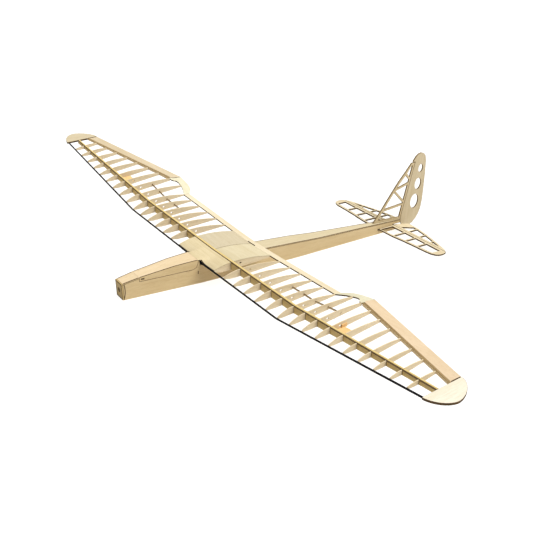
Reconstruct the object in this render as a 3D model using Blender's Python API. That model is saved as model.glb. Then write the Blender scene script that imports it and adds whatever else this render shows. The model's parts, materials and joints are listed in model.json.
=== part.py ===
"""Built-up balsa sailplane with ailerons, elevator, rudder and a lift-off nose hatch.

Everything is laid out in millimetres in the rigging frame: X to the left wing, Y aft, Z up,
with the top of the main spar at the wing root as zero.  At the end the whole model is turned
so that its straight belly lies on the ground and is moved over the origin.
"""
import math

import bmesh
import bpy
from mathutils import Matrix, Vector

# ---------------------------------------------------------------- driving dimensions (mm)
MM = 0.001
GAP = 0.3
HALF_SPAN = 800.0
ROOT_RIB_X = 81.5
RIB_PITCH = 41.9
INNER_RIBS = 7
OUTER_RIBS = 9
BREAK_X = ROOT_RIB_X + RIB_PITCH * (INNER_RIBS - 1)
CENTRE_RIB_X = 21.5
PANEL_END_X = 751.6
RIB_T = 2.0
INNER_DIHEDRAL = 0.0311
OUTER_DIHEDRAL = 0.1285
BELLY_SLOPE = 0.0815
BELLY_Z = -67.8

CAP_T = 3.0
WEB_T = 2.0
ROD_R = 2.2
ROD_END_X = 15.0
SHEET_T = 1.5
STRIP_T = 3.5
STRIP_W = 18.0
STICK_Y = 55.0
STICK_W = 3.0
STICK_DROP = 8.0
AILERON_ROOT = (428.5, 113.3)
AILERON_TIP = (751.0, 14.0)
END_ARC_X, END_ARC_Y = 12.0, 14.7
END_GAP = 0.9
SUBSPAR_X = 418.7
TIP_T = 5.0

SIDE_T = 2.5
DECK_T = 2.0
BELLY_T = 2.0
NOSE_Y = -253.0
HATCH_FRONT_Y = -208.7
HATCH_REAR_Y = -57.0
STERN_Y = 633.0

TAIL_T = 4.0
ELEVATOR_HINGE_Y = 607.65
RUDDER_RAKE = 0.245
AILERON_TRAVEL_BEVEL = 2.2

SERVO_X = 11.0
SERVO_SHAFT_Y = 11.0
ARM_R = 9.2
ARM_Z = -40.0
RUDDER_HORN_Y = 634.4

# ---------------------------------------------------------------- section laws along the span


def table(knots, at):
    """Straight-line law through (station, value) knots."""
    if at <= knots[0][0]:
        return knots[0][1]
    for (a, va), (b, vb) in zip(knots, knots[1:]):
        if at <= b:
            return va + (vb - va) * (at - a) / (b - a)
    return knots[-1][1]


def spar_top(x):
    """Height of the spar's upper face, rising with the dihedral of each panel."""
    x = abs(x)
    return INNER_DIHEDRAL * min(x, BREAK_X) + OUTER_DIHEDRAL * max(0.0, x - BREAK_X)


def spar_front(x):
    x = abs(x)
    return -0.015 * min(x, BREAK_X) - 0.039 * max(0.0, x - BREAK_X)


def rod_y(x):
    return table([(0, -50.2), (BREAK_X, -49.8), (HALF_SPAN, -48.3)], abs(x))


def rod_z(x):
    return table([(0, -9.5), (ROOT_RIB_X, -9.5), (BREAK_X, -15.0), (752, -5.5)], abs(x))


def spar_depth(x):
    return table([(0, 19.5), (BREAK_X, 18.0), (752, 9.5)], abs(x))


def spar_width(x):
    """Shear web and spar caps together, front to back."""
    return table([(0, 8.0), (BREAK_X, 7.6), (752, 6.6)], abs(x))


def aileron_front(x):
    """The straight hinge line, seen from above."""
    (x0, y0), (x1, y1) = AILERON_ROOT, AILERON_TIP
    return y0 + (y1 - y0) * (abs(x) - x0) / (x1 - x0)


def tail_y(x):
    """Where the rib tails end."""
    x = abs(x)
    if x > SUBSPAR_X:
        return aileron_front(x) - 4.0
    return table([(0, 112.5), (ROOT_RIB_X, 112.3), (BREAK_X, 110.0), (345, 115.5), (357, 120.3),
                  (372, 124.0), (388, 125.5), (396, 124.3), (401, 121.0), (405, 116.5),
                  (409, 113.2), (SUBSPAR_X, 112.2)], x)


def tail_z(x):
    return table([(0, -17.2), (ROOT_RIB_X, -17.2), (BREAK_X, -10.9), (428.5, -0.6), (751, 0.0)],
                 abs(x))


def tail_depth(x):
    return table([(0, STRIP_T), (BREAK_X, STRIP_T), (428.5, 7.5), (751, 5.0)], abs(x))


def camber(x):
    return table([(0, 4.5), (BREAK_X, 4.5), (450, 3.0), (752, 1.5)], abs(x))


def upper(x, y):
    """Upper wing surface, measured from the spar-top line."""
    y_front = rod_y(x) + ROD_R + 0.4
    y_spar = spar_front(x)
    if y < y_spar:
        z_front = rod_z(x) + 2.0
        share = max(0.0, (y - y_front) / (y_spar - y_front))
        return z_front * (1.0 - math.sin(share * math.pi / 2) ** 0.8)
    share = (y - y_spar) / (tail_y(x) - y_spar)
    return tail_z(x) * share + camber(x) * 4 * share * (1 - share)


def lower(x, y):
    """Lower wing surface, measured from the spar-top line."""
    y_front = rod_y(x) + ROD_R + 0.4
    y_spar = spar_front(x)
    depth = spar_depth(x)
    if y < y_spar:
        share = max(0.0, (y - y_front) / (y_spar - y_front))
        return table([(0, rod_z(x) - 2.0), (0.35, -0.6 * depth + 0.4 * (rod_z(x) - 3.5)),
                      (1, -depth)], share)
    y_aft = y_spar + spar_width(x)
    share = max(0.0, (y - y_aft) / (tail_y(x) - y_aft))
    return -depth + (tail_z(x) - tail_depth(x) + depth) * share


# ---------------------------------------------------------------- fuselage laws


def half_width(y):
    return table([(NOSE_Y, 16.0), (-54, 25.7), (60, 25.7), (250, 22.5), (632, 5.9)], y)


def belly(y):
    return BELLY_Z - BELLY_SLOPE * y


def nose_top(y):
    return table([(NOSE_Y, -5.0), (-209, -0.5), (-118, 2.6), (-53, 0.8)], y)


def deck_top(y):
    return table([(131, -26.0), (145, -29.5), (252, -43.5), (322, -54), (471, -71.5),
                  (616, -89.5), (634, -91.7)], y)


def cheek_line(y):
    return table([(-208, -11), (-145, -16), (-93, -19.5), (-75, -21.5), (-66, -20), (-61, -16),
                  (-58, -9), (HATCH_REAR_Y, -5)], y)


def stab_top(y):
    return -101.3 - BELLY_SLOPE * (y - 600.0)


def rudder_hinge(z):
    return 650.0 + RUDDER_RAKE * (z + 36.0)


# ---------------------------------------------------------------- scene set-up
for old in list(bpy.data.objects):
    bpy.data.objects.remove(old, do_unlink=True)

GLIDER = bpy.data.collections.new("rc_glider")
CUTTERS = bpy.data.collections.new("cutters")
for group in (GLIDER, CUTTERS):
    bpy.context.scene.collection.children.link(group)
CUTTERS.hide_render = True

FINISHES = {
    "balsa_sheet": ((0.87, 0.76, 0.55), 0.75, 0.0),
    "balsa_rib": ((0.80, 0.67, 0.45), 0.78, 0.0),
    "balsa_hard": ((0.83, 0.66, 0.40), 0.70, 0.0),
    "birch_ply": ((0.84, 0.68, 0.44), 0.65, 0.0),
    "carbon_rod": ((0.03, 0.03, 0.035), 0.35, 0.0),
    "black_plastic": ((0.05, 0.05, 0.06), 0.45, 0.0),
    "white_nylon": ((0.88, 0.88, 0.85), 0.45, 0.0),
    "battery_wrap": ((0.10, 0.18, 0.45), 0.35, 0.0),
    "steel_wire": ((0.62, 0.63, 0.65), 0.30, 1.0),
}
pivots = {}


def material(finish, node):
    colour, rough, metal = FINISHES[finish]
    mat = bpy.data.materials.new(finish + "." + node)
    mat.use_nodes = True
    shader = mat.node_tree.nodes["Principled BSDF"]
    shader.inputs["Base Color"].default_value = (*colour, 1.0)
    shader.inputs["Roughness"].default_value = rough
    shader.inputs["Metallic"].default_value = metal
    return mat


def add_object(name, bm, finish, pivot=(0.0, 0.0, 0.0)):
    """Turns a bmesh (metres) into a named node; the pivot is the joint's place in mm."""
    bmesh.ops.remove_doubles(bm, verts=bm.verts, dist=0.00001)
    bmesh.ops.recalc_face_normals(bm, faces=bm.faces)
    mesh = bpy.data.meshes.new(name)
    bm.to_mesh(mesh)
    bm.free()
    obj = bpy.data.objects.new(name, mesh)
    if finish:
        mesh.materials.append(material(finish, name))
        GLIDER.objects.link(obj)
        pivots[name] = Vector(pivot) * MM
    else:
        obj.display_type = "WIRE"
        CUTTERS.objects.link(obj)
    return obj


def skin(rings):
    """Closed skin over rings of equal length (mm), capped at both ends."""
    bm = bmesh.new()
    rows = [[bm.verts.new(Vector(p) * MM) for p in ring] for ring in rings]
    count = len(rows[0])
    for row, nxt in zip(rows, rows[1:]):
        for i in range(count):
            j = (i + 1) % count
            bm.faces.new((row[i], row[j], nxt[j], nxt[i]))
    bm.faces.new(rows[0])
    bm.faces.new(rows[-1])
    return bm


def loft(name, rings, finish, pivot=(0.0, 0.0, 0.0)):
    return add_object(name, skin(rings), finish, pivot)


def sheet_blank(loops, thickness):
    """Flat blank cut along closed loops (u, v); the first is the rim, the rest are holes."""
    bm = bmesh.new()
    for loop in loops:
        verts = [bm.verts.new((u * MM, v * MM, 0.0)) for u, v in loop]
        for i, vert in enumerate(verts):
            bm.edges.new((vert, verts[(i + 1) % len(verts)]))
    bmesh.ops.triangle_fill(bm, edges=bm.edges, use_beauty=True)
    faces = bmesh.ops.extrude_face_region(bm, geom=bm.faces[:])
    moved = [g for g in faces["geom"] if isinstance(g, bmesh.types.BMVert)]
    bmesh.ops.translate(bm, verts=moved, vec=(0, 0, thickness * MM))
    return bm


def plate(name, loops, thickness, place, finish, pivot=(0.0, 0.0, 0.0)):
    bm = sheet_blank(loops, thickness)
    bm.transform(place)
    return add_object(name, bm, finish, pivot)


def frame_yz(x):
    """Places a blank drawn in (y, z) with its thickness along X from x."""
    return Matrix(((0, 0, 1, x * MM), (1, 0, 0, 0), (0, 1, 0, 0), (0, 0, 0, 1)))


def frame_xz(y):
    """Places a blank drawn in (x, z) with its thickness along Y from y."""
    return Matrix(((1, 0, 0, 0), (0, 0, 1, y * MM), (0, 1, 0, 0), (0, 0, 0, 1)))


def frame_xy(z, slope=0.0, y_zero=0.0):
    """Places a blank drawn in (x, y) on a plane that falls aft by slope from (y_zero, z)."""
    return Matrix(((1, 0, 0, 0), (0, 1, 0, 0), (0, -slope, 1, (z + slope * y_zero) * MM),
                   (0, 0, 0, 1)))


def box(name, low, high, finish=None, pivot=(0.0, 0.0, 0.0)):
    loop = [(low[0], low[1]), (high[0], low[1]), (high[0], high[1]), (low[0], high[1])]
    return plate(name, [loop], high[2] - low[2], frame_xy(low[2]), finish, pivot)


def circle(cx, cy, radius, count=16, stretch=1.0):
    return [(cx + stretch * radius * math.cos(2 * math.pi * i / count),
             cy + radius * math.sin(2 * math.pi * i / count)) for i in range(count)]


def rod_rings(points, radius, count=8):
    """Rings round a path that runs mostly along X or along Y."""
    along_x = abs(points[-1][0] - points[0][0]) > abs(points[-1][1] - points[0][1])
    rings = []
    for x, y, z in points:
        ring = []
        for u, v in circle(0, 0, radius, count):
            ring.append((x, y + u, z + v) if along_x else (x + u, y, z + v))
        rings.append(ring)
    return rings


def combine(target, others, operation):
    """Exact Boolean of target with each of the others, written back to its mesh."""
    for other in others:
        step = target.modifiers.new(operation, "BOOLEAN")
        step.object = other
        step.operation = operation
        step.solver = "EXACT"
    bpy.context.view_layer.update()
    depsgraph = bpy.context.evaluated_depsgraph_get()
    mesh = bpy.data.meshes.new_from_object(target.evaluated_get(depsgraph))
    target.modifiers.clear()
    slots = list(target.data.materials)
    target.data = mesh
    mesh.materials.clear()
    for slot in slots:
        mesh.materials.append(slot)
    if operation == "UNION":
        for other in others:
            bpy.data.objects.remove(other, do_unlink=True)


def clip(loop, a, b):
    """Keeps the part of a convex loop to the left of the line from a to b."""
    def side(p):
        return (b[0] - a[0]) * (p[1] - a[1]) - (b[1] - a[1]) * (p[0] - a[0])
    kept = []
    for p, q in zip(loop, loop[1:] + loop[:1]):
        sp, sq = side(p), side(q)
        if sp >= 0:
            kept.append(p)
        if sp * sq < 0:
            share = sp / (sp - sq)
            kept.append((p[0] + (q[0] - p[0]) * share, p[1] + (q[1] - p[1]) * share))
    return kept


def shifted(a, b, amount):
    """The line a-b moved to its left by amount."""
    dx, dy = b[0] - a[0], b[1] - a[1]
    size = math.hypot(dx, dy)
    nx, ny = -dy / size * amount, dx / size * amount
    return (a[0] + nx, a[1] + ny), (b[0] + nx, b[1] + ny)


# ---------------------------------------------------------------- wing ribs and spars
NOTCH = CAP_T + GAP


def rib_loops(x, sheeted, stick):
    """Rib outline in (y, z), notched for the spar caps, with a lead hole and a stick hole."""
    base = spar_top(x)
    floor = base - spar_depth(x)
    y_spar = spar_front(x)
    y_web = y_spar + 0.5 * WEB_T
    y_aft = y_spar + spar_width(x) + GAP
    y_end = tail_y(x) - GAP
    y_nose = rod_y(x) + ROD_R + 0.4
    drop = SHEET_T + GAP if sheeted else 0.0

    def top(y):
        return base + upper(x, y) - drop

    def low(y):
        return base + lower(x, y)

    loop = []
    for i in range(7):
        y = y_nose + (y_spar + GAP - y_nose) * (i / 6) ** 1.5
        loop.append((y, min(top(y), base - GAP)))
    loop += [(y_web, base - GAP), (y_web, base - NOTCH), (y_aft, base - NOTCH)]
    for share in (0.0, 0.2, 0.4, 0.6, 0.8, 1.0):
        y = y_aft + (y_end - y_aft) * share
        loop.append((y, top(y)))
    loop += [(y_end, low(y_end)), (y_aft, low(y_aft)), (y_aft, floor + NOTCH)]
    loop += [(y_web, floor + NOTCH), (y_web, floor + GAP), (y_spar + GAP, floor + GAP)]
    for share in (0.65, 0.35, 0.0):
        y = y_nose + (y_spar - y_nose) * share
        loop.append((y, low(y)))
    holes = []
    if x < 470:
        hole_y = y_spar + 27
        middle = base + (upper(x, hole_y) + lower(x, hole_y)) / 2
        holes.append(circle(hole_y, middle, 2.2, 12, 1.5))
    if stick:
        y0, y1 = STICK_Y - STICK_W / 2 - GAP, STICK_Y + STICK_W / 2 + GAP
        z1 = base + upper(x, STICK_Y) - STICK_DROP + GAP
        z0 = z1 - STICK_W - 2 * GAP
        holes.append([(y0, z0), (y1, z0), (y1, z1), (y0, z1)])
    return [loop] + holes


def web_ring(x):
    """The shear web stands in front of the caps over the spar's full depth."""
    y = spar_front(x)
    low = spar_top(x) - spar_depth(x)
    high = spar_top(x)
    return [(x, y, low), (x, y + WEB_T, low), (x, y + WEB_T, high), (x, y, high)]


def mirror(ring, side):
    return [(side * x, y, z) for x, y, z in ring]


def stations(start, end, step=60.0):
    """Span stations that always include the dihedral break."""
    count = max(1, round((end - start) / step))
    cuts = [start + (end - start) * i / count for i in range(count + 1)]
    if start < BREAK_X < end:
        cuts.append(BREAK_X)
    return sorted(set(cuts))


def rib_xs():
    return [ROOT_RIB_X + RIB_PITCH * i for i in range(INNER_RIBS + OUTER_RIBS)]


def build_frame(name, side, xs, start, end):
    """One panel's ribs, joined by the shear web that runs between the spar caps."""
    frame = loft(name, [mirror(web_ring(x), side) for x in stations(start, end)], "balsa_rib")
    ribs = []
    for x in xs:
        sheeted = x < ROOT_RIB_X + 1
        stick = 240 < x < 425
        edge = side * x - RIB_T / 2
        ribs.append(plate("rib", rib_loops(x, sheeted, stick), RIB_T, frame_yz(edge), None))
    combine(frame, ribs, "UNION")


def cap_ring(x, low, high):
    front = spar_front(x) + WEB_T + GAP
    rear = spar_front(x) + spar_width(x)
    base = spar_top(x)
    return [(x, front, base + low), (x, rear, base + low), (x, rear, base + high),
            (x, front, base + high)]


def strip_ring(x):
    y = tail_y(x)
    if x < 16:
        y += 3.0
    z = spar_top(x) + tail_z(x)
    rear = tail_y(x) + STRIP_W
    return [(x, y, z - STRIP_T), (x, rear, z - 4.5), (x, rear, z - 3.0), (x, y, z)]


def flare_ring(x):
    """Section of the curved piece that leads from the trailing-edge strip to the aileron."""
    front = tail_y(x) if x < SUBSPAR_X else aileron_front(x) - 1.0 + GAP
    rear = table([(BREAK_X, 128.5), (342, 135), (350, 141.5), (362, 146.5), (376, 148.6),
                  (396, 149.6), (420, 149.0)], x)
    z_front = spar_top(x) + tail_z(x)
    z_rear = spar_top(x) + table([(BREAK_X, -13.9), (417, -7.0)], x)
    return [(x, front, z_front - STRIP_T), (x, rear, z_rear - 1.5), (x, rear, z_rear),
            (x, front, z_front)]


def subspar_ring(x):
    y = aileron_front(x) - 1.0
    z = spar_top(x) + tail_z(x)
    return [(x, y - 3.0, z - tail_depth(x)), (x, y, z - tail_depth(x)), (x, y, z),
            (x, y - 3.0, z)]


def aileron_ring(share):
    """Bevelled front edge on the hinge line, thin trailing edge."""
    xf = AILERON_ROOT[0] + (AILERON_TIP[0] - AILERON_ROOT[0]) * share
    xr = 417.0 + (751.5 - 417.0) * share
    yf = aileron_front(xf)
    yr = 149.5 + (41.2 - 149.5) * share
    depth = tail_depth(xf)
    zt = spar_top(xf) + tail_z(xf)
    zr = spar_top(xr) + table([(417, -7.0), (751.5, -0.5)], xr)
    k = AILERON_TRAVEL_BEVEL / math.hypot(xr - xf, yr - yf)
    xb, yb = xf + (xr - xf) * k, yf + (yr - yf) * k
    zb = zt + (zr - zt) * k
    return [(xf, yf, zt - depth / 2), (xb, yb, zb - depth), (xr, yr, zr - 1.5), (xr, yr, zr),
            (xb, yb, zb)]


def end_curve(grow):
    """Rounded inner end of the aileron, from the hinge line to past the trailing edge."""
    x0, y0 = AILERON_ROOT[0], AILERON_ROOT[1] + END_ARC_Y
    curve = []
    for i in range(9):
        angle = math.radians(-90 - 90 * i / 8)
        curve.append((x0 + (END_ARC_X + grow) * math.cos(angle),
                      y0 + (END_ARC_Y + grow) * math.sin(angle)))
    return curve + [(420.0 - grow, 160.0)]


def stick_ring(x):
    y0 = STICK_Y - STICK_W / 2
    y1 = STICK_Y + STICK_W / 2
    z = spar_top(x) + upper(x, STICK_Y) - STICK_DROP
    return [(x, y0, z - STICK_W), (x, y1, z - STICK_W), (x, y1, z), (x, y0, z)]


def power(value, exponent):
    return math.copysign(abs(value) ** exponent, value)


def tip_loop():
    """Half-oval tip, fuller at the front, from its leading to its trailing corner."""
    x0, y0 = 752.2, -17.0
    loop = [(x0, y0 - 38.0)]
    for i in range(1, 24):
        angle = math.radians(-90 + 180 * i / 24)
        front = angle < 0
        full = 2 / 1.85 if front else 2 / 1.6
        reach = 38.0 if front else 58.5
        loop.append((x0 + (HALF_SPAN - x0) * power(math.cos(angle), full),
                     y0 + reach * power(math.sin(angle), full)))
    return loop + [(x0, y0 + 58.5)]


def upright(name, side, loop):
    """Tall cutter over a closed outline (x, y) on one wing."""
    blank = [(side * x, y) for x, y in loop]
    return plate(name, [blank], 80.0, frame_xy(-30.0), None)


for side, tag in ((1, "left"), (-1, "right")):
    xs = rib_xs()
    build_frame("wing_frame_inner_" + tag, side, [CENTRE_RIB_X] + xs[:INNER_RIBS],
                GAP / 2, BREAK_X + RIB_T / 2)
    build_frame("wing_frame_outer_" + tag, side, xs[INNER_RIBS:],
                BREAK_X + RIB_T / 2 + GAP, PANEL_END_X)
    span = stations(GAP / 2, PANEL_END_X)
    loft("spar_cap_top_" + tag, [mirror(cap_ring(x, -CAP_T, 0), side) for x in span],
         "balsa_hard")
    loft("spar_cap_bottom_" + tag,
         [mirror(cap_ring(x, -spar_depth(x), CAP_T - spar_depth(x)), side) for x in span],
         "balsa_hard")
    rod = [(x, rod_y(x), spar_top(x) + rod_z(x)) for x in stations(ROD_END_X, PANEL_END_X)]
    loft("leading_edge_rod_" + tag, [mirror(r, side) for r in rod_rings(rod, ROD_R, 10)],
         "carbon_rod")
    edge = [GAP / 2, 15.7, 16.2] + stations(60, BREAK_X)
    loft("trailing_edge_strip_" + tag, [mirror(strip_ring(x), side) for x in edge],
         "balsa_sheet")
    span = stations(BREAK_X + GAP, 424.0, 4.0) + [SUBSPAR_X - 0.1, SUBSPAR_X + 0.1]
    flare = loft("trailing_edge_flare_" + tag, [mirror(flare_ring(x), side) for x in sorted(span)],
                 "balsa_sheet")
    outboard = upright("outboard_cutter_" + tag, side,
                       [(460.0, 112.4 - END_GAP), (430.0, 112.4 - END_GAP)]
                       + end_curve(END_GAP) + [(460.0, 160.0)])
    combine(flare, [outboard], "DIFFERENCE")
    loft("aileron_spar_" + tag, [mirror(subspar_ring(x), side) for x in stations(419, 751.4)],
         "balsa_rib")
    loft("mid_chord_stick_" + tag, [mirror(stick_ring(x), side) for x in stations(250, 418.5)],
         "balsa_rib")
    hinge = (side * AILERON_ROOT[0], AILERON_ROOT[1],
             spar_top(AILERON_ROOT[0]) + tail_z(AILERON_ROOT[0]) - tail_depth(AILERON_ROOT[0]) / 2)
    aileron = loft("aileron_" + tag,
                   [mirror(aileron_ring(i / 6), side) for i in (-0.3, 0, 1, 2, 3, 4, 5, 6)],
                   "balsa_hard", hinge)
    inboard = upright("inboard_cutter_" + tag, side,
                      [(400.0, 160.0), (400.0, 100.0), (AILERON_ROOT[0], 100.0)] + end_curve(0.0))
    combine(aileron, [inboard], "DIFFERENCE")
    loop = [(side * x, y) for x, y in tip_loop()]
    tilt = Matrix.Identity(4)
    tilt[2][0] = side * OUTER_DIHEDRAL
    lift = spar_top(PANEL_END_X) - TIP_T - OUTER_DIHEDRAL * PANEL_END_X
    plate("wing_tip_" + tag, [loop], TIP_T, Matrix.Translation((0, 0, lift * MM)) @ tilt,
          "balsa_sheet")
    xa = xs[9] + RIB_T / 2 + GAP
    xb = xs[10] - RIB_T / 2 - GAP
    ya = spar_front(xa) + spar_width(xa) + 0.6
    rim = [(side * xa, ya), (side * xb, ya), (side * xb, 28), (side * xa, 28)]
    tilt[2][0] = side * OUTER_DIHEDRAL * 0.95
    lift = spar_top(xa) - 13.5 - OUTER_DIHEDRAL * 0.95 * xa
    mount = plate("aileron_servo_plate_" + tag, [rim], 2.0,
                  Matrix.Translation((0, 0, lift * MM)) @ tilt, "birch_ply")
    doubler = [(20.0, spar_top(xa) - 13.2), (34.0, spar_top(xa) - 12.6),
               (34.0, spar_top(xa) - 4.0), (20.0, spar_top(xa) - 4.0)]
    low_x = side * xa if side > 0 else side * xa - 2.0
    combine(mount, [plate("doubler", [doubler], 2.0, frame_yz(low_x), None)], "UNION")

# ---------------------------------------------------------------- sheeted wing centre
SHEET_END_X = ROOT_RIB_X + RIB_T / 2


def front_sheet_ring(x):
    """Nose sheeting; over the fuselage it runs forward to the hatch and rises to its level."""
    wide = min(1.0, max(0.0, (abs(x) - 24.0) / 2.3))
    sunk = min(1.0, max(0.0, (abs(x) - 17.0) / 27.0))
    sunk = sunk * sunk * (3 - 2 * sunk)
    start = (1 - wide) * (HATCH_REAR_Y + GAP) + wide * (rod_y(x) + ROD_R + 0.4)
    end = spar_front(x) - GAP
    top, low = [], []
    for i in range(8):
        y = start + (end - start) * (i / 7) ** (1.0 + 0.5 * wide)
        flat = 0.8 * min(1.0, 1.25 * (1 - i / 7))
        z = spar_top(x) + (1 - sunk) * flat + sunk * upper(x, y)
        top.append((x, y, z))
        low.append((x, y, z - SHEET_T))
    return top + low[::-1]


def rear_sheet_ring(x):
    start = spar_front(x) + spar_width(x) + GAP
    end = tail_y(x) - GAP
    top, low = [], []
    for i in range(8):
        y = start + (end - start) * i / 7
        z = spar_top(x) + upper(x, y)
        top.append((x, y, z))
        low.append((x, y, z - SHEET_T))
    return top + low[::-1]


def bottom_sheet_ring(x):
    start = rod_y(x) + ROD_R + 2.0
    end = tail_y(x) - GAP
    top, low = [], []
    aft = spar_front(x) + spar_width(x) + GAP
    for y in (start, start + 14, spar_front(x) - GAP, aft, 60, end):
        z = spar_top(x) + lower(x, y) - GAP
        top.append((x, y, z))
        low.append((x, y, z - 1.2))
    return top + low[::-1]


half = [2.0, 14.0, 19.0, 24.0, 26.3, 30.0, 35.0, 41.0, 60.0, SHEET_END_X]
loft("centre_sheet_front", [front_sheet_ring(x) for x in [-h for h in half[::-1]] + half],
     "balsa_sheet")
for side, tag in ((1, "left"), (-1, "right")):
    loft("centre_sheet_rear_" + tag,
         [mirror(rear_sheet_ring(x), side) for x in (GAP / 2, 28, 55, SHEET_END_X)],
         "balsa_sheet")
loft("centre_sheet_bottom", [bottom_sheet_ring(x) for x in (-SHEET_END_X, -0.1, 0.1, SHEET_END_X)],
     "balsa_sheet")

# ---------------------------------------------------------------- fuselage
FUSELAGE_Y = [-249.7, HATCH_FRONT_Y - GAP / 2, HATCH_FRONT_Y + GAP / 2, -145, -93, -75, -66, -61,
              -58, HATCH_REAR_Y, HATCH_REAR_Y + 0.4, -53.2, -52.8, -46.0, -30, 0, 60, 130.4, 130.8,
              145, 252, 322, 471, 560, STERN_Y]


def side_top(y):
    """Upper edge of a fuselage side: under nose deck, hatch cheeks, wing and tail deck."""
    if y <= HATCH_FRONT_Y:
        return nose_top(y) - 2.5 - GAP
    if y <= HATCH_REAR_Y:
        return cheek_line(y) - GAP
    if y < -53:
        return -4.5
    if y < 130.6:
        return table([(-52.8, -14.5), (-46, -14.5), (-30, -20.5), (0, -21.6), (130, -24)], y)
    return deck_top(y) - DECK_T - GAP


def side_ring(y, side):
    outer = side * half_width(y)
    inner = side * (half_width(y) - SIDE_T)
    low = belly(y)
    high = side_top(y)
    return [(outer, y, low), (outer, y, high), (inner, y, high), (inner, y, low)]


def slab_ring(y, low, high, inset=0.0):
    w = half_width(y) - inset
    return [(-w, y, low), (w, y, low), (w, y, high), (-w, y, high)]


def rudder_rod_at(y):
    share = (y - SERVO_SHAFT_Y) / (RUDDER_HORN_Y - SERVO_SHAFT_Y)
    return (-SERVO_X + ARM_R - 10.6 * share, y, -37.4 - 58.7 * share)


def elevator_rod_at(y):
    share = (y - SERVO_SHAFT_Y) / (611.0 - SERVO_SHAFT_Y)
    return (SERVO_X - ARM_R, y, -37.4 - 75.2 * share)


stab_slot = loft("stab_slot_cutter", [
    [(-30, y, stab_top(y) + 0.4), (30, y, stab_top(y) + 0.4),
     (30, y, stab_top(y) - TAIL_T - 0.4), (-30, y, stab_top(y) - TAIL_T - 0.4)]
    for y in (542.0, STERN_Y + 5)], None)
joiner_slot = loft("joiner_slot_cutter", [
    [(-30, y, stab_top(y) + 3.2), (30, y, stab_top(y) + 3.2),
     (30, y, stab_top(y) - TAIL_T - 3.2), (-30, y, stab_top(y) - TAIL_T - 3.2)]
    for y in (602.0, STERN_Y + 5)], None)
rod_slot = loft("rod_slot_cutter", [
    [(px - 9, y, pz - 2.2), (px + 9, y, pz - 2.2), (px + 9, y, pz + 2.2), (px - 9, y, pz + 2.2)]
    for px, y, pz in (rudder_rod_at(y) for y in (452.0, 545.0))], None)

for side, tag in ((1, "left"), (-1, "right")):
    panel = loft("fuselage_side_" + tag, [side_ring(y, side) for y in FUSELAGE_Y], "balsa_sheet")
    combine(panel, [stab_slot, joiner_slot] + ([rod_slot] if side < 0 else []), "DIFFERENCE")

loft("fuselage_bottom", [slab_ring(y, belly(y), belly(y) + BELLY_T, SIDE_T + GAP)
                         for y in (-249.7, -54, 60, 250, STERN_Y)], "balsa_sheet")
loft("nose_deck", [slab_ring(y, nose_top(y) - 2.5, nose_top(y))
                   for y in (-249.7, HATCH_FRONT_Y - GAP)], "balsa_sheet")
loft("tail_deck", [slab_ring(y, deck_top(y) - DECK_T, deck_top(y))
                   for y in (131, 145, 252, 322, 471, 560, STERN_Y)], "balsa_sheet")

nose_loop = [(-16, -46.9), (16, -46.9), (16, -5.2), (-16, -5.2)]
plate("nose_plate", [nose_loop, circle(0, -26, 3.4, 12, 0.75)], 3.0, frame_xz(NOSE_Y), "birch_ply")


def former_loops(y, high, hole):
    w = half_width(y) - SIDE_T - GAP
    low = belly(y) + BELLY_T + 0.6
    x, z0, z1 = hole
    return [[(-w, low), (w, low), (w, high), (-w, high)], [(-x, z0), (x, z0), (x, z1), (-x, z1)]]


FORMERS = {
    "former_nose": (-206.0, -4.5, (11, -42, -12)),
    "former_wing_front": (-56.4, -4.0, (10, -50, -20)),
    "former_wing_rear": (120.0, -26.0, (14, -66, -36)),
    "former_tail": (300.0, -54.0, (12, -86, -62)),
}
for name, (y, high, hole) in FORMERS.items():
    plate(name, former_loops(y, high, hole), 2.5, frame_xz(y), "birch_ply")


def hatch_ring(y):
    w = half_width(y)
    top = nose_top(y)
    low = cheek_line(y)
    return [(-w, y, low), (-w, y, top), (w, y, top), (w, y, low), (w - SIDE_T, y, low),
            (w - SIDE_T, y, top - 2.5), (SIDE_T - w, y, top - 2.5), (SIDE_T - w, y, low)]


loft("nose_hatch", [hatch_ring(y) for y in (HATCH_FRONT_Y + GAP / 2, -190, -145, -118, -93, -75,
                                            -66, -61, -58, HATCH_REAR_Y)], "balsa_sheet",
     (0, -132, 2))

# ---------------------------------------------------------------- radio gear inside the fuselage


def pack_ring(y, width, lift, height):
    low = belly(y) + BELLY_T + lift
    return [(-width, y, low), (width, y, low), (width, y, low + height), (-width, y, low + height)]


loft("battery_pack", [pack_ring(y, 14.0, 0.6, 18.0) for y in (-198, -118)], "battery_wrap")
loft("receiver", [pack_ring(y, 11.0, 0.6, 10.0) for y in (-106, -70)], "black_plastic")

tray_rim = [(-22.6, -4), (22.6, -4), (22.6, 38), (-22.6, 38)]
tray_cuts = [[(c - 6.3, 4.7), (c + 6.3, 4.7), (c + 6.3, 28.3), (c - 6.3, 28.3)]
             for c in (-SERVO_X, SERVO_X)]
plate("servo_tray", [tray_rim] + tray_cuts, 2.0, frame_xy(-52.0), "birch_ply")

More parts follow.
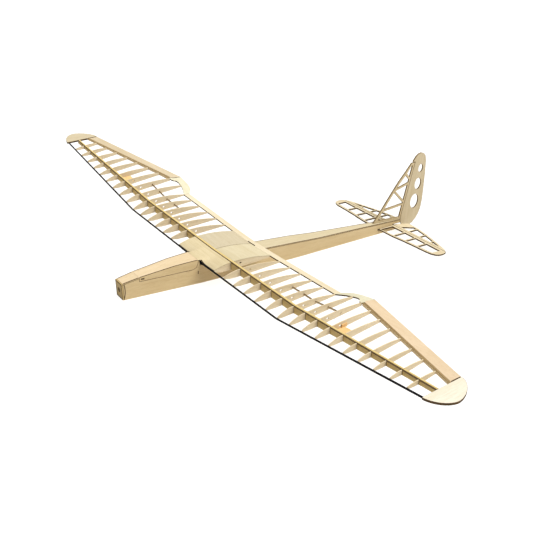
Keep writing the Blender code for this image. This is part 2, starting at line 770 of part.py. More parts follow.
for side, tag in ((1, "elevator"), (-1, "rudder")):
    cx = side * SERVO_X
    servo = box("servo_" + tag, (cx - 6, 5, -64), (cx + 6, 28, -44), "black_plastic")
    lugs = box("lugs", (cx - 6, 0.5, -49.7), (cx + 6, 32.5, -47.5))
    turret = plate("turret", [circle(cx, SERVO_SHAFT_Y, 5.5, 16)], 4.3, frame_xy(-45.0), None)
    combine(servo, [lugs, turret], "UNION")
    tip = cx - side * ARM_R
    arm = []
    for i in range(9):
        angle = math.radians(-90 + 180 * i / 8)
        arm.append((cx + side * 3.2 * math.cos(angle), SERVO_SHAFT_Y + 3.2 * math.sin(angle)))
    for i in range(7):
        angle = math.radians(90 + 180 * i / 6)
        arm.append((tip + side * 1.5 * math.cos(angle), SERVO_SHAFT_Y + 1.5 * math.sin(angle)))
    plate("servo_arm_" + tag, [arm], 1.2, frame_xy(ARM_Z - 0.4), "white_nylon",
          (cx, SERVO_SHAFT_Y, ARM_Z))

loft("pushrod_elevator", rod_rings([elevator_rod_at(9), elevator_rod_at(612)], 0.6),
     "steel_wire", elevator_rod_at(300))
loft("pushrod_rudder", rod_rings([rudder_rod_at(9), rudder_rod_at(637.5)], 0.6),
     "steel_wire", rudder_rod_at(300))

# ---------------------------------------------------------------- tail surfaces
STAB_LE = [(0, 543), (60, 548.5), (108, 554.5), (150, 558), (180, 559.5), (198, 562.5),
           (209, 568.5), (215, 578), (216.5, 590), (214.5, 600), (211.5, 607)]
ELEVATOR_TE = [(209.5, 608.3), (203, 613.5), (190, 619.5), (153, 631.5), (106, 645), (61, 654.5),
               (22, 657.5)]
TAIL_RIBS = [61.5, 103.0, 146.0]
BAR_W = 4.6


def bay(front, rear, x0, x1, flare=0.0):
    """Opening between two edge curves (x, y) and two rib faces; flare slants the inner face."""
    xs = [x0 + (x1 - x0) * i / 4 for i in range(5)]
    back = [x0 + flare + (x1 - x0 - flare) * i / 4 for i in range(5)]
    return [(x, table(front, x)) for x in xs] + [(x, table(rear, x)) for x in back[::-1]]


def both_sides(loops):
    return loops + [[(-x, y) for x, y in loop] for loop in loops]


def tail_bays(front, rear, start, end, flare=0.0):
    cuts = [start] + TAIL_RIBS + [end]
    bays = []
    for i, (a, b) in enumerate(zip(cuts, cuts[1:])):
        inner = a if i == 0 else a + BAR_W / 2
        outer = b if i == 3 else b - BAR_W / 2
        bays.append(bay(front, rear, inner, outer, flare if i == 0 else 0.0))
    return both_sides(bays)


le_inner = [(x, y + 7.5) for x, y in STAB_LE]
half_rim = [(x, y) for x, y in STAB_LE if x > 0]
stab_rim = [(-x, y) for x, y in half_rim[::-1]] + half_rim
stab_holes = tail_bays(le_inner, [(0, 598), (200, 598)], 13.0, 197.0)
plate("stabiliser", [stab_rim] + stab_holes, TAIL_T,
      frame_xy(stab_top(600) - TAIL_T, BELLY_SLOPE, 600), "balsa_sheet")

te_inner = [(x, y - 7.0) for x, y in ELEVATOR_TE[::-1]]
rim = [(8.0, 613.0), (8.5, 628), (14, 646), (19, 656.2)] + ELEVATOR_TE[::-1]
cut_back = [(9.5, 613.0), (17, 613.0)] + ELEVATOR_TE[::-1]
elevator_rim = rim + [(-x, y) for x, y in cut_back[::-1]]
elevator_holes = tail_bays([(0, 616.8), (210, 616.8)], te_inner, 28.0, 174.0, 20.0)
elevator_axis = (0, ELEVATOR_HINGE_Y, stab_top(ELEVATOR_HINGE_Y) - TAIL_T / 2)
plate("elevator", [elevator_rim] + elevator_holes, TAIL_T,
      frame_xy(stab_top(600) - TAIL_T, BELLY_SLOPE, 600), "balsa_sheet", elevator_axis)
horn = [(608.8, stab_top(609) - TAIL_T - GAP), (612.8, stab_top(612.8) - TAIL_T - GAP),
        (612.4, -114.2), (609.4, -114.2)]
plate("elevator_horn", [horn], 1.6, frame_yz(-0.8), "white_nylon", elevator_axis)

FIN_LE = [(530.5, -78.0), (559, -45), (593, -3), (617, 26), (643, 52), (664, 74.5)]
POST_W = 6.0
post_high = (rudder_hinge(74.5) - 0.7, 74.5)
fin_rim = FIN_LE + [post_high, (rudder_hinge(-91.2) - 0.7, -91.2), (STERN_Y, -91.2)]
fin_rim += [(y, deck_top(y) + GAP) for y in (616, 560)]
core = [(547, -74.0), (563, -52), (599.5, -6.5), (622, 20), (648, 45.5), (664, 66)]
core += [(rudder_hinge(67.5) - POST_W - 0.7, 67.5), (rudder_hinge(-84) - POST_W - 0.7, -84)]
BRACE_W = 6.4
BRACES = [((664, 24), (645, 46)), ((660.4, 15.8), (609.7, 5.5)), ((646.8, -41.8), (606, 0.9)),
          ((642.9, -46.2), (566.6, -47.6))]
fin_holes = []
remaining = core
for low, high in BRACES:
    fin_holes.append(clip(remaining, *shifted(low, high, -BRACE_W / 2)[::-1]))
    remaining = clip(remaining, *shifted(low, high, BRACE_W / 2))
fin_holes.append(remaining)
plate("fin", [fin_rim] + [h for h in fin_holes if len(h) > 2], TAIL_T, frame_yz(-TAIL_T / 2),
      "balsa_sheet")

rudder_rim = [(rudder_hinge(-88) + 0.7, -88), (638.5, -101), (645, -111.5), (660, -118.8),
              (674, -121.2), (688, -117.5), (702, -106), (711, -92), (717, -77), (721, -50),
              (722, -7), (722, 40), (720.5, 72), (717.5, 85), (710, 94.5), (700, 98.5),
              (689, 97.3), (680, 91.5), (671, 81), (669, 76.5), (rudder_hinge(76.5) + 0.7, 76.5)]
rudder_holes = [circle(701.8, 51.3, 12.5, 20, 0.72), circle(696.4, 4.5, 17.5, 24, 0.72),
                circle(688.4, -48.2, 22.5, 24, 0.70)]
rudder_axis = (0, rudder_hinge(0), 0)
plate("rudder", [rudder_rim] + rudder_holes, TAIL_T, frame_yz(-TAIL_T / 2), "balsa_sheet",
      rudder_axis)
horn = [(-TAIL_T / 2 - GAP, 640.0), (-TAIL_T / 2 - GAP, 648.0), (-8, 642.5),
        (-14.4, RUDDER_HORN_Y + 2.6), (-14.4, RUDDER_HORN_Y - 2.6), (-8, 637.0)]
plate("rudder_horn", [horn], 1.6, frame_xy(-99.6), "white_nylon", rudder_axis)

# ---------------------------------------------------------------- set down on the belly
turn = Matrix.Rotation(math.atan(BELLY_SLOPE), 4, "X")
corners = [turn @ v.co for obj in GLIDER.objects for v in obj.data.vertices]
middle_y = (min(c.y for c in corners) + max(c.y for c in corners)) / 2
ground = min(c.z for c in corners)
settle = Matrix.Translation((0, -middle_y, -ground)) @ turn
for obj in GLIDER.objects:
    pivot = settle @ pivots[obj.name]
    obj.data.transform(Matrix.Translation(-pivot) @ settle)
    obj.location = pivot
for cutter in list(CUTTERS.objects):
    cutter.data.transform(settle)
    cutter.hide_render = True
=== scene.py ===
import json
import math

import bmesh
import bpy
from mathutils import Matrix, Vector

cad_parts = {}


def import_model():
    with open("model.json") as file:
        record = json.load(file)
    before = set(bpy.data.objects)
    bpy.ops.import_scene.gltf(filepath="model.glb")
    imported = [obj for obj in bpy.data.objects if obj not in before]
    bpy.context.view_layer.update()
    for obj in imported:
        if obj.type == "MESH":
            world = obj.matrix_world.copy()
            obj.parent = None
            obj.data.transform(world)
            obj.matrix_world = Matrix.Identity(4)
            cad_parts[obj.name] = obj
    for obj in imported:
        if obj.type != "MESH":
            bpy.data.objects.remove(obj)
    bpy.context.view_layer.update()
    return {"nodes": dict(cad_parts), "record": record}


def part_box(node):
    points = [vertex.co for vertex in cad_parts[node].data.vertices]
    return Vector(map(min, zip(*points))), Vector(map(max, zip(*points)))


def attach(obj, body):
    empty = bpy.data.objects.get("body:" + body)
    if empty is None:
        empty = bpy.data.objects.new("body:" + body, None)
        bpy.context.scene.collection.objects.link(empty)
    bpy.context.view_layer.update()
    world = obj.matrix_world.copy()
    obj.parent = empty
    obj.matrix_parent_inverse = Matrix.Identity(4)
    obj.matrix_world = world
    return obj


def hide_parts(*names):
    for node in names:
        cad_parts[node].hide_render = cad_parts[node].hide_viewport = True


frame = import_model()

nodes = frame["nodes"]
record = frame["record"]
MM = 0.001

# ---------------------------------------------------------------- wing frame of reference
# Millimetres from the spar's top at the root: X to the left wing, Y aft, Z up.
SLOPE = 0.0815                      # tangent of the wing frame's tilt against the ground
TILT = Matrix.Rotation(math.atan(SLOPE), 4, "X")
SPAR_ROOT = (0, -0.235469, 0.067576)    # metres
SETTLE = Matrix.Translation(SPAR_ROOT) @ TILT
UNSETTLE = SETTLE.inverted()
BREAK_X = 332.9                     # where the dihedral changes
SPAR_END_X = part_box("spar_cap_top_left")[1][0] / MM
INNER_SWEEP, OUTER_SWEEP = -0.015, -0.039
INNER_RISE, OUTER_RISE = 0.0311, 0.1285
WEB_THICK = 2.0
FIRST_RIB, RIB_PITCH = 0.0815, 0.0419   # metres
NOSE_Y = -249.7

# Half width of the fuselage at five stations: (y, half width).
NOSE, WING_FRONT, WING_REAR = (NOSE_Y, 16.0), (-54.0, 25.7), (60.0, 25.7)
BOOM, TAIL = (250.0, 22.5), (632.0, 5.9)


def gauge(point):
    """Wing-frame millimetres of a point given in metres."""
    return UNSETTLE @ Vector(point) * 1000.0


def world(x, y, z):
    """Metres of a point given in the wing frame."""
    return SETTLE @ (Vector((x, y, z)) * MM)


def bent(x, inner, outer):
    """Value that grows with one slope up to the dihedral break and another beyond it."""
    return inner * min(abs(x), BREAK_X) + outer * max(0.0, abs(x) - BREAK_X)


def spar_front(x):
    return bent(x, INNER_SWEEP, OUTER_SWEEP)


def spar_top(x):
    return bent(x, INNER_RISE, OUTER_RISE)


def line(y, start, end):
    """Value at y on the straight line through two (y, value) points."""
    return start[1] + (end[1] - start[1]) * (y - start[0]) / (end[0] - start[0])


def half_width(y):
    if y < WING_FRONT[0]:
        return line(y, NOSE, WING_FRONT)
    return line(y, WING_REAR, BOOM) if y < BOOM[0] else line(y, BOOM, TAIL)


# ---------------------------------------------------------------- shader helpers
COLOUR_A, COLOUR_B, COLOUR_OUT = 6, 7, 2    # the Mix node's sockets for colours


class Shader:
    """Small builder for a node material: its methods add nodes and return the last output."""

    def __init__(self, name):
        self.mat = bpy.data.materials.new(name)
        self.mat.use_nodes = True
        self.tree = self.mat.node_tree
        self.tree.nodes.clear()
        out = self.tree.nodes.new("ShaderNodeOutputMaterial")
        self.bsdf = self.tree.nodes.new("ShaderNodeBsdfPrincipled")
        self.tree.links.new(self.bsdf.outputs[0], out.inputs["Surface"])

    def put(self, socket, value):
        if isinstance(value, bpy.types.NodeSocket):
            self.tree.links.new(value, socket)
        elif value is not None:
            if isinstance(value, tuple) and len(value) == 3 and socket.type == "RGBA":
                value = (*value, 1.0)
            socket.default_value = value

    def surface(self, name, value):
        self.put(self.bsdf.inputs[name], value)

    def coords(self):
        """Object coordinates, which are the model's own: every piece sits at the origin."""
        return self.tree.nodes.new("ShaderNodeTexCoord").outputs["Object"]

    def noise(self, where, cycles, detail, rough, warp=0.0, offset=(0, 0, 0)):
        """Noise with so many cycles per metre along X, Y and Z."""
        scaled = self.tree.nodes.new("ShaderNodeMapping")
        self.put(scaled.inputs["Vector"], where)
        scaled.inputs["Scale"].default_value = cycles
        scaled.inputs["Location"].default_value = offset
        node = self.tree.nodes.new("ShaderNodeTexNoise")
        self.put(node.inputs["Vector"], scaled.outputs[0])
        node.inputs["Scale"].default_value = 1.0
        node.inputs["Detail"].default_value = detail
        node.inputs["Roughness"].default_value = rough
        node.inputs["Distortion"].default_value = warp
        return node.outputs["Fac"]

    def math(self, op, a, b=None):
        node = self.tree.nodes.new("ShaderNodeMath")
        node.operation = op
        self.put(node.inputs[0], a)
        self.put(node.inputs[1], b)
        return node.outputs[0]

    def split(self, vector):
        node = self.tree.nodes.new("ShaderNodeSeparateXYZ")
        self.put(node.inputs[0], vector)
        return node.outputs

    def ramp(self, value, low, high, a=0.0, b=1.0):
        """a at low, b at high, straight in between and level outside."""
        node = self.tree.nodes.new("ShaderNodeMapRange")
        node.clamp = True
        self.put(node.inputs["Value"], value)
        node.inputs["From Min"].default_value = low
        node.inputs["From Max"].default_value = high
        node.inputs["To Min"].default_value = a
        node.inputs["To Max"].default_value = b
        return node.outputs[0]

    def mix(self, factor, a, b):
        node = self.tree.nodes.new("ShaderNodeMix")
        node.data_type = "RGBA"
        self.put(node.inputs[0], factor)
        self.put(node.inputs[COLOUR_A], a)
        self.put(node.inputs[COLOUR_B], b)
        return node.outputs[COLOUR_OUT]

    def times(self, first, *rest):
        for other in rest:
            first = self.math("MULTIPLY", first, other)
        return first

    def cells(self, value, pitch):
        """One steady random number per step of pitch along value."""
        node = self.tree.nodes.new("ShaderNodeTexWhiteNoise")
        node.noise_dimensions = "1D"
        self.put(node.inputs["W"], self.math("ROUND", self.math("DIVIDE", value, pitch)))
        return node.outputs["Value"]

    def inside(self, where, low, high, soft=0.0003):
        """1 inside a box, 0 outside; metres."""
        masks = []
        for part, start, end in zip(self.split(where), low, high):
            masks.append(self.ramp(part, start - soft, start + soft))
            masks.append(self.ramp(part, end + soft, end - soft))
        return self.times(*masks)

    def bump(self, height, strength, distance):
        node = self.tree.nodes.new("ShaderNodeBump")
        node.inputs["Strength"].default_value = strength
        node.inputs["Distance"].default_value = distance
        self.put(node.inputs["Height"], height)
        return node.outputs[0]


# ---------------------------------------------------------------- colours and patterns
CHAR_PALE, CHAR_DEEP = (0.120, 0.070, 0.027), (0.042, 0.025, 0.011)
SCORCH_PALE, SCORCH_DEEP = (0.280, 0.190, 0.083), (0.150, 0.098, 0.040)
BALSA = (0.590, 0.467, 0.300)
PLY = (0.600, 0.430, 0.180)
# Painted shade: darker olive tone for the spar web's forward faces, which face away from the
# light.
WEB_FRONT_SHADE = (0.520, 0.370, 0.145)
# Painted shade: yellower tone for the forward faces of the aileron spars and ailerons, away from
# the light.
FORWARD_SHADE = (0.620, 0.475, 0.265)
# Fuselage sides' own tone, partly a painted shade tint: less blue so their shaded parts look
# yellow.
SIDE = (0.515, 0.388, 0.208)
# Factors on a tone for pale wood, dark wood and the lines in it.
LIGHTER, DARKER, DEEPER = (1.07, 1.08, 1.10), (0.92, 0.90, 0.84), (0.72, 0.62, 0.50)
# Tone of each piece by how its name starts; the first match counts.
TONES = {
    "wing_frame": (0.600, 0.495, 0.330),
    "centre_sheet_front": (0.535, 0.448, 0.275),
    "centre_sheet_rear_right": (0.455, 0.392, 0.270),
    "centre_sheet_rear_left": (0.513, 0.448, 0.298),
    "fuselage_side": SIDE,
    "tail_deck": (0.495, 0.423, 0.280),
    # Painted shade: the forward-facing nose plate gets a dark tone for the shade it sits in.
    "nose_plate": (0.385, 0.278, 0.118),
    "rudder": (0.513, 0.423, 0.274),
    "fin": (0.507, 0.405, 0.242),
    "stabiliser": (0.530, 0.445, 0.295),
    "elevator": (0.540, 0.455, 0.300),
    "trailing_edge_strip": (0.590, 0.510, 0.360),
    "trailing_edge_flare": (0.560, 0.525, 0.380),
    "wing_tip_left": (0.700, 0.635, 0.520),
    "wing_tip_right": (0.480, 0.410, 0.278),
    "aileron_spar": BALSA,
    "aileron_servo": (0.660, 0.430, 0.190),
    "aileron_right": (0.490, 0.405, 0.272),
    "aileron": (0.575, 0.448, 0.298),
    "spar_cap": (0.590, 0.455, 0.190),
}
# Where the grain runs, by how the name starts; along Y for every other piece.
ALONG_X = ("spar", "aileron", "trailing", "mid_chord", "centre_sheet", "stab", "elevator",
           "nose_plate", "former")
ALONG_Z = ("fin", "rudder")

# Noise cycles per metre: (across the grain, along the grain), or one number for each axis.
STREAKS, LINES, VESSELS = (75.0, 3.5), (700.0, 18.0), (1500.0, 110.0)
CLOUDS, SCORCH, SOOT, BURN_LINES = (6, 6, 6), (160, 160, 160), (120, 120, 120), (1400, 1400, 90)
EVEN, BRUSHED_X, BRUSHED_Y = (500, 500, 500), (20, 2500, 2500), (2500, 20, 2500)

# Burns fade between two distances; beside a rib the darkening is char and painted shade. Beside a
# rib they are in rib pitches, else in metres.
RIB_BURN_AND_SHADE, CAP_BURN, ARC_BURN = (0.070, 0.045), (0.0021, 0.0014), (0.0014, 0.0009)
RIB_DEPTH, CAP_DEPTH = 0.8, 0.9
LINE_DEPTH, VESSEL_DEPTH, RIB_VARIETY = 0.30, 0.45, 0.14
# Burnt boxes in the wing frame: (low, high, depth of the burn). The finger notch's box is also
# painted shade of its hollow.
SIDE_SLOT = ((-26.4, -59.8, -36.6), (26.4, -56.4, -28.8), 0.97)
# Painted shade: the finger notch's hollow, with char at its edge, on the flat side.
FINGER_NOTCH = ((-19.6, -205.0, -8.0), (19.6, -196.0, -4.6), 0.97)
# Burnt arc of the nose joint: y and middle height in mm, bulge and half height in metres.
NOSE_JOINT = dict(start=NOSE_Y + 0.6, middle=-26.0, bulge=0.0035, half=0.021)


def tone_of(name, slot):
    for start, tone in TONES.items():
        if name.startswith(start):
            return tone
    return PLY if slot == "birch_ply" else BALSA


def grain_of(name):
    if name.startswith(ALONG_Z):
        return "Z"
    return "X" if name.startswith(ALONG_X) else "Y"


def shaded(colour, factors):
    return tuple(c * k for c, k in zip(colour, factors))


# ---------------------------------------------------------------- materials


def spar_edge(s, where):
    """Height of the spar's upper front edge over each x, in metres."""
    root, bend, end = [world(x, spar_front(x), spar_top(x)).z for x in (0.0, BREAK_X, SPAR_END_X)]
    across = s.math("ABSOLUTE", s.split(where)[0])
    inner = s.math("MINIMUM", across, BREAK_X * MM)
    outer = s.math("MAXIMUM", s.math("SUBTRACT", across, BREAK_X * MM), 0.0)
    rise = s.times(inner, (bend - root) / (BREAK_X * MM))
    climb = s.times(outer, (end - bend) / ((SPAR_END_X - BREAK_X) * MM))
    return s.math("ADD", s.math("ADD", rise, climb), root)


def joint_burns_and_shade(s, where):
    """Masks on the spar web: char and painted shade beside each rib, and scorched just under the
    upper cap.
    """
    across = s.math("ABSOLUTE", s.split(where)[0])
    turns = s.math("DIVIDE", s.math("SUBTRACT", across, FIRST_RIB), RIB_PITCH)
    off = s.math("ABSOLUTE", s.math("SUBTRACT", turns, s.math("ROUND", turns)))
    below = s.math("SUBTRACT", spar_edge(s, where), s.split(where)[2])
    # Beside each rib: char of the joint and painted shade in the corner.
    return [s.times(s.ramp(off, *RIB_BURN_AND_SHADE), RIB_DEPTH),
            s.times(s.ramp(below, *CAP_BURN), CAP_DEPTH)]


def arc_burn(s, where, start, middle, bulge, half):
    """Mask of a curved burnt line on an upright face."""
    parts = s.split(where)
    centre = world(0, start, middle)
    rise = s.math("DIVIDE", s.math("SUBTRACT", parts[2], centre.z), half)
    bow = s.math("SUBTRACT", 1.0, s.times(rise, rise))
    aft = s.math("SUBTRACT", parts[1], centre.y)
    away = s.math("ABSOLUTE", s.math("SUBTRACT", aft, s.times(bow, bulge)))
    return s.times(s.ramp(away, *ARC_BURN), s.ramp(bow, 0.0, 0.05))


def box_burn(s, where, low, high, depth):
    """Mask of a burnt box given in the wing frame."""
    pairs = list(zip(world(*low), world(*high)))
    mask = s.inside(where, [min(pair) for pair in pairs], [max(pair) for pair in pairs])
    return s.times(mask, depth)


def wood(name, base, grain, shift, marks=(), arc=None, ribs=False, joints=False):
    """Bare wood: broad streaks and fine vessel lines along the grain, with burnt marks.

    shift moves the pattern, so that no two pieces share it. ribs gives each rib its own tone, and
    joints darkens the spar web with char and painted shade where it meets the ribs, and scorches
    it under the upper cap.
    """
    s = Shader(name)
    light, dark = shaded(base, LIGHTER), shaded(base, DARKER)
    deep = shaded(dark, DEEPER)
    where = s.coords()

    def along(pair):
        cycles = [pair[0]] * 3
        cycles["XYZ".index(grain)] = pair[1]
        return tuple(cycles)

    streak = s.noise(where, along(STREAKS), 5.0, 0.62, 0.5, (shift, shift, shift))
    lines = s.noise(where, along(LINES), 3.0, 0.6, offset=(shift, 0, shift))
    vessel = s.noise(where, along(VESSELS), 2.0, 0.5, offset=(0, shift, 0))
    cloud = s.noise(where, CLOUDS, 2.0, 0.5, offset=(0, shift, shift))
    tone = s.math("ADD", s.times(streak, 0.65), s.times(cloud, 0.35))
    if ribs:
        own = s.cells(s.split(where)[0], RIB_PITCH)
        tone = s.math("ADD", tone, s.times(s.math("SUBTRACT", own, 0.5), RIB_VARIETY))
    colour = s.mix(s.ramp(tone, 0.34, 0.66), light, dark)
    colour = s.mix(s.times(s.ramp(lines, 0.50, 0.68), LINE_DEPTH), colour, deep)
    colour = s.mix(s.times(s.ramp(vessel, 0.60, 0.72), VESSEL_DEPTH), colour, deep)

    scorch = s.noise(where, SCORCH, 4.0, 0.65, offset=(shift, 0, 0))
    brown = s.mix(s.ramp(scorch, 0.35, 0.65), CHAR_PALE, CHAR_DEEP)
    burns = joint_burns_and_shade(s, where) if joints else []
    if arc:
        burns.append(arc_burn(s, where, **arc))
    burns += [box_burn(s, where, *mark) for mark in marks]
    for burn in burns:
        colour = s.mix(burn, colour, brown)

    s.surface("Base Color", colour)
    s.surface("Roughness", s.ramp(streak, 0.3, 0.7, 0.60, 0.78))
    s.surface("Specular IOR Level", 0.25)
    height = s.math("ADD", s.times(lines, 0.6), s.times(vessel, 0.4))
    s.surface("Normal", s.bump(height, 0.35, 0.0003))
    return s.mat


def charred(name, pale, deep):
    """Laser-cut wood edge: brown to black with uneven soot and fine vertical burn lines."""
    s = Shader(name)
    where = s.coords()
    soot = s.noise(where, SOOT, 5.0, 0.65)
    lines = s.noise(where, BURN_LINES, 2.0, 0.6)
    tone = s.math("ADD", s.times(soot, 0.7), s.times(lines, 0.3))
    s.surface("Base Color", s.mix(s.ramp(tone, 0.36, 0.64), pale, deep))
    s.surface("Roughness", s.ramp(soot, 0.3, 0.7, 0.72, 0.9))
    s.surface("Specular IOR Level", 0.15)
    s.surface("Normal", s.bump(lines, 0.4, 0.0002))
    return s.mat


def fitting(name, colour, rough, speck=0.1, grain=EVEN, metal=0.0, coat=0.0, shine=0.5):
    """Plastic, metal or carbon with fine grain in its colour, gloss and height."""
    s = Shader(name)
    fine = s.noise(s.coords(), grain, 3.0, 0.6)
    dim = tuple(c * (1 - speck) for c in colour)
    s.surface("Base Color", s.mix(s.ramp(fine, 0.3, 0.7), colour, dim))
    s.surface("Roughness", s.ramp(fine, 0.3, 0.7, rough * 0.8, rough * 1.2))
    s.surface("Metallic", metal)
    s.surface("Coat Weight", coat)
    s.surface("Specular IOR Level", shine)
    s.surface("Normal", s.bump(fine, 0.2, 0.0002))
    return s.mat


burnt = charred("charred_edge", CHAR_PALE, CHAR_DEEP)
# On the aileron spars' tops this tone is also painted shade of the hinge gap.
scorched = charred("scorched_edge", SCORCH_PALE, SCORCH_DEEP)
FITTINGS = {
    "carbon_rod": fitting("carbon", (0.006, 0.006, 0.007), 0.6, 0.4, BRUSHED_X, shine=0.12),
    "black_plastic": fitting("black_plastic", (0.035, 0.035, 0.04), 0.45, 0.2),
    "white_nylon": fitting("white_nylon", (0.70, 0.69, 0.64), 0.42, 0.05),
    "battery_wrap": fitting("battery_wrap", (0.05, 0.12, 0.40), 0.3, coat=0.4),
    "steel_wire": fitting("steel_wire", (0.50, 0.51, 0.53), 0.28, grain=BRUSHED_Y, metal=1.0),
}

# ---------------------------------------------------------------- choosing faces
# Face tests take a face's centre, in mm, and its unit normal, both in the wing frame. A piece's
# material list holds its wood, its burnt wood and sometimes a second tone of wood, which on
# forward faces is painted shade.
WOOD, BURNT, SECOND = 0, 1, 2
PLANE_SLACK = 0.3
LID_MARGIN, CAP_MARGIN, SEAM_MARGIN = 2.6, 4.5, 1.5
AILERON_END = 747.0
BELLY_EDGE = -60.0


def cut_faces(axis, limit=0.5):
    """Burnt where a face looks away from axis: the laser-cut thickness of a flat sheet."""
    def choose(centre, normal):
        return BURNT if abs(normal[axis]) < limit else WOOD
    return choose


def broad(axis, limit=0.8):
    """Whether a face looks along axis."""
    def choose(centre, normal):
        return abs(normal[axis]) > limit
    return choose


def frame_faces(centre, normal):
    """Wing frame: charred web top, web front in a darker painted shade tone, light ribs."""
    offset = centre.y - spar_front(centre.x)
    if normal.z > 0.9 and -PLANE_SLACK < offset < WEB_THICK + PLANE_SLACK:
        return BURNT
    return SECOND if normal.y < -0.9 and abs(offset) < PLANE_SLACK else WOOD


def stick_faces(centre, normal):
    return BURNT if normal.z > 0.5 else WOOD


def strip_faces(centre, normal):
    return BURNT if normal.y < -0.7 or abs(normal.x) > 0.9 else WOOD


def subspar_faces(centre, normal):
    # Forward faces take the painted shade tone.
    if normal.y < -0.7:
        return SECOND
    # The top is dark with char of the cut and painted shade of the hinge gap.
    return BURNT if normal.z > 0.7 else WOOD


def aileron_faces(centre, normal):
    if abs(normal.x) > 0.75:
        return BURNT
    # Forward bevel faces take the painted shade tone.
    return SECOND if normal.y < -0.35 else WOOD


def lid_faces(centre, normal):
    return SECOND if abs(normal.x) > 0.7 else WOOD


def at_sides(centre):
    return abs(centre.x) > half_width(centre.y) - LID_MARGIN


def off_belly(centre):
    return centre.z > BELLY_EDGE - SLOPE * centre.y


def cap_front(centre):
    return centre.y < spar_front(centre.x) + CAP_MARGIN


def at_outer_end(centre):
    return abs(centre.x) > AILERON_END


def near_middle(centre):
    return abs(centre.x) < SEAM_MARGIN


# ---------------------------------------------------------------- finished copies of the pieces
bodies = record["behaviour"]["bodies"]
body_of = {node: body for body, members in bodies.items() for node in members}
slots = {part["node"]: part["material_slot"] for part in record["subparts"]}

MERGE = 0.000002                    # metres between vertices that are one
FLAT = math.radians(0.2)            # faces closer than this to one plane are joined
CORNER = math.radians(38)           # edges sharper than this are eased
LIDS = ("nose_hatch", "nose_deck", "tail_deck")

# How each wooden piece is finished, by how its name starts; the first match counts.
TREATMENTS = {
    "wing_frame": dict(faces=frame_faces),
    "spar_cap": dict(regions=[(broad(2), 0.7)], keep=cap_front),
    "mid_chord": dict(faces=stick_faces),
    "trailing_edge": dict(faces=strip_faces, ease=0.2),
    "aileron_spar": dict(faces=subspar_faces),
    "aileron_servo": dict(ease=0.2),
    "aileron": dict(faces=aileron_faces, regions=[(broad(2), 2.2)], keep=at_outer_end, smooth=20),
    "wing_tip": dict(faces=cut_faces(2, 0.6), regions=[(broad(2), 0.5)], ease=0.3),
    "stabiliser": dict(faces=cut_faces(2), regions=[(broad(2), 0.35)], ease=0.2),
    "elevator": dict(faces=cut_faces(2), regions=[(broad(2), 0.35)], ease=0.2),
    "fin": dict(faces=cut_faces(0), regions=[(broad(0), 0.3)]),
    "rudder": dict(faces=cut_faces(0), regions=[(broad(0), 0.3)]),
    "nose_plate": dict(regions=[(broad(1), 3.2)]),
    "fuselage_side": dict(regions=[(broad(0), 0.6)], keep=off_belly, smooth=20),
    "centre_sheet_rear": dict(regions=[(broad(2, 0.7), 0.6)], keep=near_middle, smooth=20),
    "centre_sheet": dict(smooth=20),
}
for lid in LIDS:
    TREATMENTS[lid] = dict(faces=lid_faces, regions=[(broad(2), 2.4), (broad(0, 0.7), 0.5)],
                           keep=at_sides, smooth=20)
PLAIN = dict(ease=0.2)
ROUND_FITTING, BOXY_FITTING = dict(smooth=50), dict(ease=0.35)


def crafted(name, mats, faces=None, regions=(), keep=None, ease=0.0, smooth=0):
    """Copy of a CAD piece with merged faces, burnt borders, eased corners and smooth curves.

    faces gives each face its place in mats. Each region is (face test, width): the border of the
    faces it picks is burnt that wide, in mm, where keep(centre) holds. ease is the size of the
    eased corners in mm, and edges under smooth degrees are shaded as one curve.
    """
    bm = bmesh.new()
    bm.from_mesh(nodes[name].data)
    bmesh.ops.remove_doubles(bm, verts=bm.verts, dist=MERGE)
    bmesh.ops.dissolve_limit(bm, angle_limit=FLAT, verts=bm.verts, edges=bm.edges)
    if ease:
        corners = [edge for edge in bm.edges
                   if len(edge.link_faces) == 2 and edge.calc_face_angle(0.0) > CORNER]
        bmesh.ops.bevel(bm, geom=corners, offset=ease * MM, offset_type="OFFSET", segments=2,
                        profile=0.6, affect="EDGES", clamp_overlap=True, material=-1)
    turn = UNSETTLE.to_3x3()
    for face in bm.faces:
        centre = gauge(face.calc_center_median())
        face.material_index = faces(centre, turn @ face.normal) if faces else WOOD
    for region, width in regions:
        chosen = [face for face in bm.faces if face.material_index != BURNT
                  and region(gauge(face.calc_center_median()), turn @ face.normal)]
        border = bmesh.ops.inset_region(bm, faces=chosen, thickness=width * MM, depth=0.0,
                                        use_boundary=True, use_even_offset=True)["faces"]
        for face in border:
            if keep is None or keep(gauge(face.calc_center_median())):
                face.material_index = BURNT
    mesh = bpy.data.meshes.new(name + "_finished")
    bm.to_mesh(mesh)
    bm.free()
    if "custom_normal" in mesh.attributes:
        mesh.attributes.remove(mesh.attributes["custom_normal"])
    for mat in mats:
        mesh.materials.append(mat)
    for polygon in mesh.polygons:
        polygon.use_smooth = smooth > 0
    mesh.set_sharp_from_angle(angle=math.radians(smooth))
    piece = bpy.data.objects.new(name + "_finished", mesh)
    bpy.context.scene.collection.objects.link(piece)
    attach(piece, body_of[name])
    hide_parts(name)


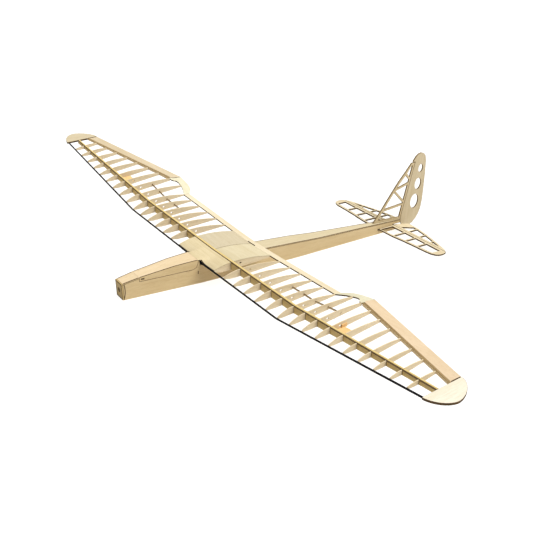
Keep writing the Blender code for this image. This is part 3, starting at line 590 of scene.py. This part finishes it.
def wooden(name, shift):
    """Material list of a wooden piece."""
    tag = "wood_" + name
    side = name.startswith("fuselage_side")
    main = wood(tag, tone_of(name, slots[name]), grain_of(name), shift,
                [SIDE_SLOT] if side else (), NOSE_JOINT if side else None,
                ribs=name.startswith("wing_frame"))
    if name in ("fin", "rudder"):
        return [main, scorched]
    if name.startswith("wing_frame"):
        # The third material is the painted shade tone of the web's forward faces.
        return [main, burnt, wood(tag + "_web", WEB_FRONT_SHADE, "X", shift + 0.3, joints=True)]
    if name.startswith("aileron_spar"):
        return [main, scorched, wood(tag + "_front", FORWARD_SHADE, "X", shift)]
    if name in ("aileron_left", "aileron_right"):
        return [main, burnt, wood(tag + "_front", FORWARD_SHADE, "X", shift)]
    if name in LIDS:
        return [main, burnt, wood(tag + "_side", SIDE, "Y", shift + 0.4, [FINGER_NOTCH])]
    return [main, burnt]


for index, name in enumerate(sorted(nodes)):
    if slots[name] in FITTINGS:
        treatment = ROUND_FITTING if "rod" in name else BOXY_FITTING
        crafted(name, [FITTINGS[slots[name]]], **treatment)
        continue
    starts = [start for start in TREATMENTS if name.startswith(start)]
    treatment = TREATMENTS[starts[0]] if starts else PLAIN
    crafted(name, wooden(name, index * 1.7), **treatment)

# ---------------------------------------------------------------- studio
FLOOR_SIZE, FLOOR_DROP, FLOOR_TONE = 400, 0.0005, (0.72, 0.72, 0.72)
SKY_STRENGTH = 0.32
KEY = (0.30, 0.34, 0.89)            # towards the light

bpy.ops.mesh.primitive_plane_add(size=FLOOR_SIZE, location=(0, 0, -FLOOR_DROP))
floor = bpy.context.object
floor.name = "floor"
paint = Shader("floor")
paint.surface("Base Color", FLOOR_TONE)
paint.surface("Roughness", 0.95)
paint.surface("Specular IOR Level", 0.0)
floor.data.materials.append(paint.mat)

studio = bpy.data.worlds.new("studio")
studio.use_nodes = True
sky = studio.node_tree.nodes["Background"]
sky.inputs["Color"].default_value = (1, 1, 1, 1)
sky.inputs["Strength"].default_value = SKY_STRENGTH
bpy.context.scene.world = studio
bpy.context.scene.view_settings.view_transform = "Standard"


def sun(name, strength, angle):
    """Soft sun from KEY; a wider angle, in degrees, gives softer shadows."""
    data = bpy.data.lights.new(name, "SUN")
    data.energy = strength
    data.angle = math.radians(angle)
    lamp = bpy.data.objects.new(name, data)
    bpy.context.scene.collection.objects.link(lamp)
    lamp.rotation_mode = "QUATERNION"
    lamp.rotation_quaternion = Vector(KEY).to_track_quat("Z", "Y")
    return lamp


def floor_group(name, state):
    """Light-linking group: INCLUDE is the floor alone, EXCLUDE is everything but the floor."""
    group = bpy.data.collections.new(name)
    group.objects.link(floor)
    group.collection_objects[0].light_linking.link_state = state
    return group


# The model has a sun of its own. The floor gets one that casts no shadow and a weak one that does.
key = sun("key", 5.0, 50)
key.light_linking.receiver_collection = floor_group("all_but_floor", "EXCLUDE")
fill = sun("floor_fill", 4.0, 50)
fill.light_linking.receiver_collection = floor_group("floor_lit", "INCLUDE")
fill.light_linking.blocker_collection = floor_group("floor_blocks", "INCLUDE")
soft = sun("floor_shadow", 1.0, 60)
soft.light_linking.receiver_collection = floor_group("floor_shaded", "INCLUDE")

CAMERA_AT = Vector((1.416000, -1.142668, 0.865320))
CAMERA_RIGHT = Vector((0.580619, 0.811407, 0.067091))
CAMERA_UP = Vector((-0.400562, 0.212943, 0.891182))

camera_data = bpy.data.cameras.new("camera")
camera_data.sensor_width = 36.0
camera_data.lens = 50.667
camera_data.clip_start = 0.05
camera_data.clip_end = 100.0
camera = bpy.data.objects.new("camera", camera_data)
bpy.context.scene.collection.objects.link(camera)
camera_back = CAMERA_RIGHT.cross(CAMERA_UP)
place = Matrix((CAMERA_RIGHT, CAMERA_UP, camera_back)).transposed().to_4x4()
place.translation = CAMERA_AT
camera.matrix_world = place
bpy.context.scene.camera = camera
